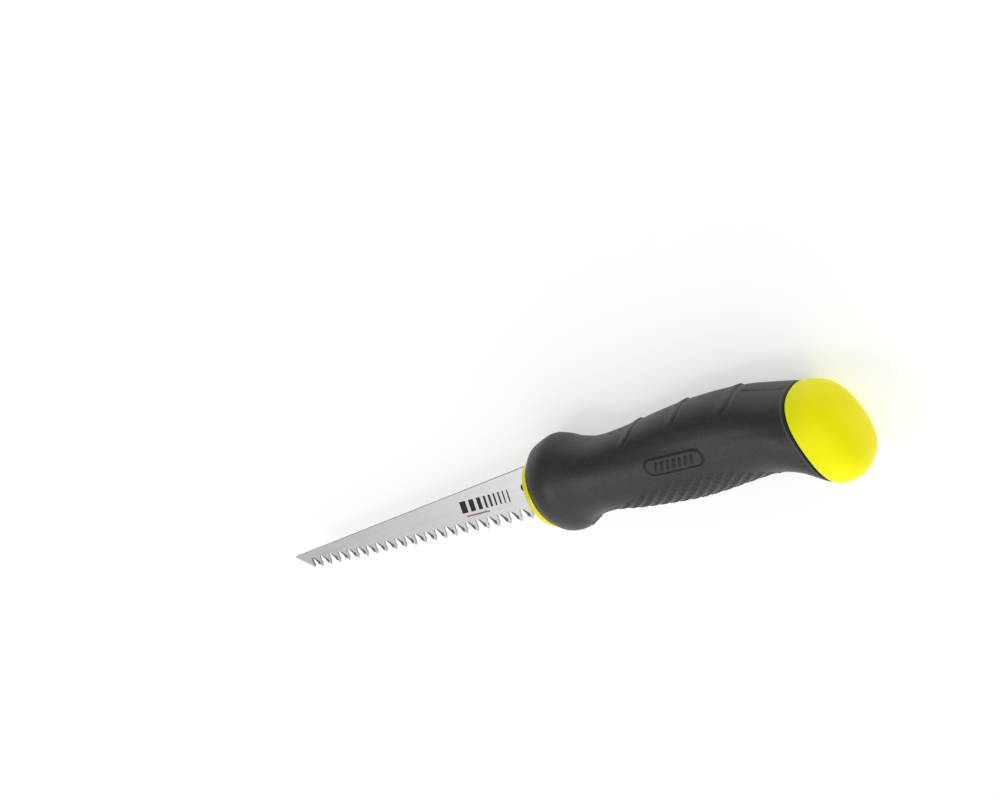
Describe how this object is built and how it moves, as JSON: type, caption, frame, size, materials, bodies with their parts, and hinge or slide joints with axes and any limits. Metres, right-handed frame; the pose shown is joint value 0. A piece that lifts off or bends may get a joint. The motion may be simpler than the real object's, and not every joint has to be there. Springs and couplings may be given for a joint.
{
  "type": "drywall saw",
  "caption": "Hand saw for drywall: stiff tapered pointed steel blade with coarse ground teeth, fixed in a soft-covered handle with a bulbous front guard and a domed butt cap.",
  "frame": {"origin": "middle of the underside of the saw's bounding box, with the saw lying on its side", "axes": "+X from the blade's point towards the butt cap, +Y towards the blade's plain back, +Z straight out of the blade's upper flat side"},
  "size_m": [0.3, 0.0566, 0.0365],
  "materials": {
    "blade_steel": "satin brushed",
    "hard_yellow": "smooth satin",
    "core_plastic": "matt",
    "rivet_steel": "plain",
    "screw_steel": "zinc plated",
    "soft_black": "matt, fine grain"
  },
  "bodies": {
    "root": {"blade": "blade_steel", "front_ring": "hard_yellow", "core_left": "core_plastic", "core_right": "core_plastic", "tang_rivets": "rivet_steel", "core_screws": "screw_steel", "soft_grip": "soft_black", "butt_cap": "hard_yellow"}
  },
  "joints": []
}
